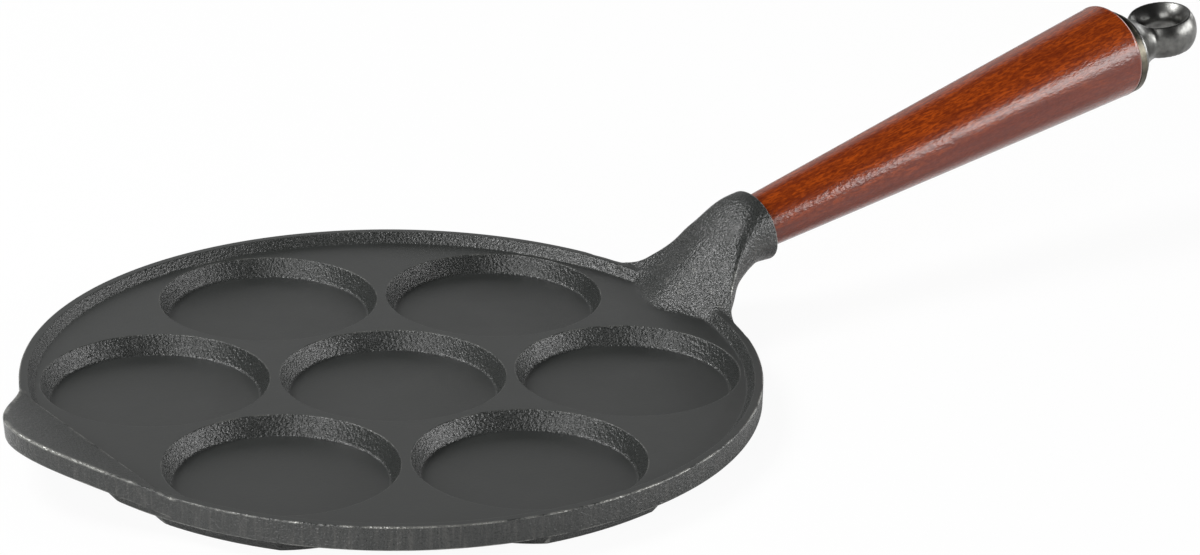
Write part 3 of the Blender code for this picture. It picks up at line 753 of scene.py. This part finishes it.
def makeEye(steel):
    s = eyeForm
    half = 0.5 * s["height"]
    place = rodPlace @ Matrix.Translation((0, 0, eyeSeat + s["setback"]))
    place = place @ Matrix.Rotation(math.pi / 2, 4, "Y")
    edge = s["mouthRadius"] + s["lipWidth"]
    bulge = s["radius"] - edge
    barrel = [(0, half)]
    barrel += [(edge + bulge * (1 - abs(t) ** s["barrelPower"]), half * t) for t in np.linspace(1, -1, 41)]
    barrel.append((0, -half))
    piece = addForm("forged_eye", turnedForm(barrel, s["facets"], place))
    low = eyeSeat
    start, end = low + s["flangeThickness"], low + s["setback"] - s["neckEnd"] * s["radius"]
    flare = s["flangeRadius"] - s["neckRadius"]
    foot = [(0, end), (s["neckRadius"], end)]
    for t in np.linspace(0.97, 0, 30):
        foot.append((s["neckRadius"] + flare * (1 - t) ** s["neckPower"], start + t * (end - start)))
    foot += [(s["flangeRadius"], low), (0, low)]
    combine(piece, "UNION", [addForm("foot", turnedForm(foot, s["facets"], rodPlace))])
    past, wide = s["holeRun"] * half, s["holeEdge"] * s["mouthRadius"]
    opening = s["mouthRadius"] - s["waistRadius"]
    heights = np.linspace(s["holeShare"], -s["holeShare"], 41)
    hole = [(0, past), (wide, past)]
    hole += [(s["waistRadius"] + opening * t * t, half * t) for t in heights]
    hole += [(wide, -past), (0, -past)]
    combine(piece, "DIFFERENCE", [addForm("hourglass_rough", turnedForm(hole, s["facets"], place))])
    remesh = piece.modifiers.new("even mesh", "REMESH")
    remesh.mode = "VOXEL"
    remesh.voxel_size = s["voxel"]
    settle(piece)
    centre = place.translation
    axis = place.to_3x3() @ Vector((0, 0, 1))
    outward = (gripPlace.to_3x3() @ Vector((0, 0, 1))).normalized()
    group = piece.vertex_groups.new(name="blend")
    for vert in piece.data.vertices:
        fromCentre = vert.co - centre
        height = abs(fromCentre.dot(axis))
        along = fromCentre.dot(outward)
        seat = along + s["setback"]
        weight = ease((-s["blendStart"] - along) / s["blendRun"])
        weight *= ease((seat - s["footStart"]) / s["footRun"])
        radial = (fromCentre - axis * fromCentre.dot(axis)).length
        if radial < edge + s["faceMargin"]:
            weight *= 1 - ease((half + s["faceRun"] - abs(height - half)) / s["faceFade"] - 5)
        group.add([vert.index], weight, "REPLACE")
    blend = piece.modifiers.new("blend", "SMOOTH")
    blend.vertex_group = "blend"
    blend.factor = 0.5
    blend.iterations = s["rounds"]
    settle(piece)
    holeEnd = eyeSeat + rod["eyeEngagement"] + s["holeEndRun"]
    threadHole = rodHole(eyeSeat - s["holeLead"], holeEnd, rod["radius"] + rod["gap"])
    hourglass = turnedForm(hole, s["facets"], place)
    combine(piece, "DIFFERENCE", [addForm("hourglass", hourglass), addForm("thread_hole", threadHole)])
    finishPiece(piece, steel, "eye", ["hanging_eye"], s["sharp"])
    return piece


def ironMaterial():
    s = {
        "base": (0.024, 0.0258, 0.0246), "pale": (0.029, 0.031, 0.0295), "wearAndHighlight": (0.42, 0.42, 0.395),
        "paintedCreaseShade": (0.006, 0.006, 0.006), "ground": (0.085, 0.083, 0.077), "lines": (1100, 1100, 90),
        "grain": 1150, "fineGrain": 2400, "clouds": 45, "wearHighlightBreakup": 120, "specular": 0.6,
        "smoothRough": 0.40, "slopeRough": 0.30, "smoothBump": 0.06, "slopeBump": 0.9, "bumpDistance": 0.00048,
    }
    material, tree, shader = startMaterial("seasonedCastIron")
    place = addNode(tree, "ShaderNodeTexCoord").outputs["Object"]
    level = remap(tree, attribute(tree, "level"), 0.88, 0.99)  # 1 on level faces, 0 on slopes
    upright = remap(tree, attribute(tree, "level"), 0.30, 0.08)  # 1 on the outer walls
    grains = addNode(
        tree, "ShaderNodeTexVoronoi", {"feature": "SMOOTH_F1"}, Vector=place,
        Scale=s["grain"], Randomness=1.0, Smoothness=0.35,
    ).outputs["Distance"]
    coarse = noise(tree, place, 0.8 * s["grain"], 2, 0.5)
    fine = noise(tree, place, s["fineGrain"], 2, 0.5)
    cloud = noise(tree, place, s["clouds"], 4, 0.6)
    # partly bare-metal edges and partly painted highlight: convex edges are lightened and made metallic,
    # standing in for the bright line along the rim's top edge
    wearHighlightBreakup = remap(tree, noise(tree, place, s["wearHighlightBreakup"], 4, 0.65), 0.41, 0.60)
    wearAndHighlight = mathNode(tree, "MULTIPLY", attribute(tree, "edgeWearAndHighlight"), wearHighlightBreakup, True)
    # painted shade: concave corners and fillets are darkened and made rougher, standing in for the shade that
    # falls in creases
    paintedCreaseShade = attribute(tree, "crease")
    shade = mixColour(tree, remap(tree, cloud, 0.3, 0.75), s["base"], s["pale"])
    lines = noise(tree, stretched(tree, place, s["lines"]), 1.0, 3, 0.6)
    ground = mathNode(tree, "MULTIPLY", upright, remap(tree, lines, 0.48, 0.70))
    shade = mixColour(tree, mathNode(tree, "MULTIPLY", ground, 0.5), shade, s["ground"])
    # painted highlight, partly real bare metal: the convex edges turn light grey
    shade = mixColour(tree, mathNode(tree, "MULTIPLY", wearAndHighlight, 0.75), shade, s["wearAndHighlight"])
    # painted shade: the creases' near-black colour is mixed into the base colour
    shade = mixColour(tree, mathNode(tree, "MULTIPLY", paintedCreaseShade, 0.7), shade, s["paintedCreaseShade"])
    tree.links.new(shade, shader.inputs["Base Color"])
    rough = remap(tree, level, 0, 1, s["slopeRough"], s["smoothRough"])
    rough = mathNode(tree, "ADD", rough, remap(tree, cloud, 0.3, 0.7, -0.04, 0.05))
    slope = mathNode(tree, "SUBTRACT", 1.0, level)
    spread = mathNode(tree, "MULTIPLY", remap(tree, fine, 0.42, 0.58, 0.14, -0.10), slope)
    rough = mathNode(tree, "ADD", rough, spread)
    rough = mathNode(tree, "ADD", rough, mathNode(tree, "MULTIPLY", paintedCreaseShade, 0.2))
    tree.links.new(rough, shader.inputs["Roughness"])
    tree.links.new(mathNode(tree, "MULTIPLY", wearAndHighlight, 0.8), shader.inputs["Metallic"])
    shader.inputs["Specular IOR Level"].default_value = s["specular"]
    height = mathNode(tree, "MULTIPLY", coarse, 0.7)
    height = mathNode(tree, "SUBTRACT", height, mathNode(tree, "MULTIPLY", grains, 0.40))
    height = mathNode(tree, "ADD", height, mathNode(tree, "MULTIPLY", fine, 0.40))
    strength = remap(tree, level, 0, 1, s["slopeBump"], s["smoothBump"])
    tree.links.new(addBump(tree, height, strength, s["bumpDistance"]), shader.inputs["Normal"])
    return material


def woodMaterial():
    s = {
        "dark": (0.100, 0.011, 0.002), "red": (0.165, 0.021, 0.003), "orange": (0.37, 0.059, 0.004),
        "coatRough": 0.21, "rough": 0.42, "specular": 0.1, "axisHeight": 0.0004,
        # stretches along the grip and across it
        "figure": (14, 90, 90), "streaks": (95, 700, 700), "flecks": (420, 1800, 1800),
        "peel": (560, 1000, 1000), "pores": (260, 1100, 1100), "waves": 110,
        "bump": 0.5, "bumpDistance": 0.0003,
    }
    material, tree, shader = startMaterial("lacqueredWood")
    place = addNode(tree, "ShaderNodeTexCoord").outputs["Object"]
    turned = stretched(tree, place, (1, 1, 1), neckForm["tilt"])

    def fibres(name, detail, rough, distortion=0.0):
        return noise(tree, stretched(tree, turned, s[name]), 1.0, detail, rough, distortion)

    figure = fibres("figure", 3, 0.5, 0.6)
    streaks = fibres("streaks", 4, 0.6, 0.4)
    flecks = fibres("flecks", 2, 0.5)
    height = addNode(tree, "ShaderNodeSeparateXYZ", None, Vector=turned).outputs["Z"]
    # painted light: the colour turns lighter and more orange towards the upper side, standing in for the
    # bright orange band that the light gives the top of the grip
    paintedUpperLight = remap(tree, height, s["axisHeight"] - 0.004, s["axisHeight"] + 0.012, -0.26, 0.26)
    tint = remap(tree, mathNode(tree, "ADD", figure, paintedUpperLight), 0.36, 0.68)
    tint = mixColour(tree, tint, s["red"], s["orange"])
    tint = mixColour(tree, remap(tree, streaks, 0.62, 0.38, 0, 0.60), tint, s["dark"])
    tint = mixColour(tree, remap(tree, flecks, 0.58, 0.40, 0, 0.65), tint, s["dark"])
    tree.links.new(tint, shader.inputs["Base Color"])
    shader.inputs["Roughness"].default_value = s["rough"]
    shader.inputs["Specular IOR Level"].default_value = s["specular"]
    shader.inputs["Coat Weight"].default_value = 1.0
    shader.inputs["Coat Roughness"].default_value = s["coatRough"]
    peel = fibres("peel", 2, 0.5)
    pores = remap(tree, fibres("pores", 1, 0.4), 0.24, 0.32)
    waves = noise(tree, place, s["waves"], 2, 0.5)
    height = mathNode(tree, "MULTIPLY", peel, 0.75)
    height = mathNode(tree, "ADD", height, mathNode(tree, "MULTIPLY", pores, 0.12))
    height = mathNode(tree, "ADD", height, mathNode(tree, "MULTIPLY", waves, 0.7))
    bump = addBump(tree, height, s["bump"], s["bumpDistance"])
    tree.links.new(bump, shader.inputs["Normal"])
    tree.links.new(bump, shader.inputs["Coat Normal"])
    return material


def eyeMaterial():
    s = {
        "pale": (0.20, 0.20, 0.19), "dark": (0.13, 0.13, 0.125), "mottle": 420, "dents": 520,
        "bump": 0.16, "bumpDistance": 0.0003,
    }
    material, tree, shader = startMaterial("forgedSteel")
    place = addNode(tree, "ShaderNodeTexCoord").outputs["Object"]
    mottle = noise(tree, place, s["mottle"], 4, 0.6)
    tint = mixColour(tree, remap(tree, mottle, 0.35, 0.65), s["dark"], s["pale"])
    tree.links.new(tint, shader.inputs["Base Color"])
    tree.links.new(remap(tree, mottle, 0.3, 0.7, 0.38, 0.29), shader.inputs["Roughness"])
    shader.inputs["Metallic"].default_value = 1.0
    bump = addBump(tree, noise(tree, place, s["dents"], 3, 0.55), s["bump"], s["bumpDistance"])
    tree.links.new(bump, shader.inputs["Normal"])
    return material


def turnedSteelMaterial():
    s = {
        "pale": (0.155, 0.140, 0.108), "dark": (0.06, 0.056, 0.044), "mottle": 300, "rings": (3000, 60, 60),
        "bump": 0.15, "bumpDistance": 0.0001,
    }
    material, tree, shader = startMaterial("turnedSteel")
    place = addNode(tree, "ShaderNodeTexCoord").outputs["Object"]
    rings = noise(tree, stretched(tree, place, s["rings"], neckForm["tilt"]), 1.0, 2, 0.5)
    mottle = remap(tree, noise(tree, place, s["mottle"], 3, 0.6), 0.35, 0.7)
    tree.links.new(mixColour(tree, mottle, s["pale"], s["dark"]), shader.inputs["Base Color"])
    tree.links.new(remap(tree, rings, 0.3, 0.7, 0.30, 0.42), shader.inputs["Roughness"])
    shader.inputs["Metallic"].default_value = 1.0
    tree.links.new(addBump(tree, rings, s["bump"], s["bumpDistance"]), shader.inputs["Normal"])
    return material


studio = {
    "floor": (0.86, 0.86, 0.86), "floorSize": 6, "cameraWhite": 0.94, "world": 0.02,
    "target": (0.08, 0, 0.03),
    "lamps": (  # name, azimuth and elevation from the pan, distance, width, height, watts
        ("key_strip", 323, 14, 1.5, 1.40, 0.50, 18),
        ("left_panel", 203, 19, 1.5, 0.90, 0.80, 14),
        ("back_sheet", 58, 21, 1.5, 1.60, 0.90, 2.2),
        ("ramp_lamp", 139, 52, 1.5, 0.62, 0.62, 19),
        ("right_lamp", 15, 12, 1.5, 0.50, 0.40, 2.2),
    ),
}


def makeFloor():
    shape = bmesh.new()
    bmesh.ops.create_grid(shape, x_segments=1, y_segments=1, size=studio["floorSize"])
    floor = addForm("floor", shape)
    material, tree, shader = startMaterial("paleFloor")
    shader.inputs["Base Color"].default_value = (*studio["floor"], 1)
    shader.inputs["Roughness"].default_value = 1.0
    shader.inputs["Specular IOR Level"].default_value = 0.0
    white = addNode(tree, "ShaderNodeEmission", None, Color=(1, 1, 1, 1), Strength=1.0)
    path = addNode(tree, "ShaderNodeLightPath")
    factor = mathNode(tree, "MULTIPLY", path.outputs["Is Camera Ray"], studio["cameraWhite"])
    mix = addNode(tree, "ShaderNodeMixShader", None, i0=factor, i1=shader.outputs[0], i2=white.outputs[0])
    tree.links.new(mix.outputs[0], tree.nodes["Material Output"].inputs["Surface"])
    floor.data.materials.append(material)
    return floor


def makeWorld():
    world = bpy.data.worlds.new("studio")
    bpy.context.scene.world = world
    world.use_nodes = True
    tree = world.node_tree
    back = tree.nodes["Background"]
    path = addNode(tree, "ShaderNodeLightPath")
    strength = remap(tree, path.outputs["Is Camera Ray"], 0, 1, studio["world"], 1.0)
    back.inputs["Color"].default_value = (1, 1, 1, 1)
    tree.links.new(strength, back.inputs["Strength"])


def makeLamps():
    target = Vector(studio["target"])
    for name, azimuth, elevation, distance, width, height, watts in studio["lamps"]:
        lamp = bpy.data.lights.new(name, "AREA")
        lamp.shape = "RECTANGLE"
        lamp.size, lamp.size_y, lamp.energy = width, height, watts
        piece = bpy.data.objects.new(name, lamp)
        bpy.context.scene.collection.objects.link(piece)
        turn, rise = math.radians(azimuth), math.radians(elevation)
        away = Vector((math.cos(rise) * math.cos(turn), math.cos(rise) * math.sin(turn), math.sin(rise)))
        piece.location = target + away * distance
        piece.rotation_euler = away.to_track_quat("Z", "Y").to_euler()


view = {
    "azimuth": -0.645491104, "elevation": 0.386821466, "roll": 0.0284391193,
    "place": (-0.59421, -0.89443, 0.48049), "lens": 112.98, "sensor": 36, "near": 0.05, "far": 20,
}


def makeCamera():
    a, e, r = view["azimuth"], view["elevation"], view["roll"]
    back = Vector((math.sin(a) * math.cos(e), -math.cos(a) * math.cos(e), math.sin(e)))
    right = Vector((math.cos(a), math.sin(a), 0))
    up = back.cross(right)
    across = math.cos(r) * right + math.sin(r) * up
    upright = -math.sin(r) * right + math.cos(r) * up
    lens = bpy.data.cameras.new("photo_camera")
    lens.sensor_fit = "HORIZONTAL"
    lens.sensor_width = view["sensor"]
    lens.lens = view["lens"]
    lens.clip_start, lens.clip_end = view["near"], view["far"]
    camera = bpy.data.objects.new("photo_camera", lens)
    bpy.context.scene.collection.objects.link(camera)
    place = Matrix((across, upright, back)).transposed().to_4x4()
    place.translation = Vector(view["place"])
    camera.matrix_world = place
    bpy.context.scene.camera = camera


def main():
    makeCamera()
    makeFloor()
    makeWorld()
    makeLamps()
    bpy.context.scene.view_settings.view_transform = "Standard"
    print("stage: camera, floor and light")
    makePan(ironMaterial())
    print("stage: cast pan")
    makeGrip(woodMaterial())
    makeWasher(turnedSteelMaterial())
    makeEye(eyeMaterial())
    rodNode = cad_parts["tie_rod"]
    rodNode.data.materials.clear()
    rodNode.data.materials.append(bpy.data.materials["turnedSteel"])
    print("stage: grip, washer and eye")


main()
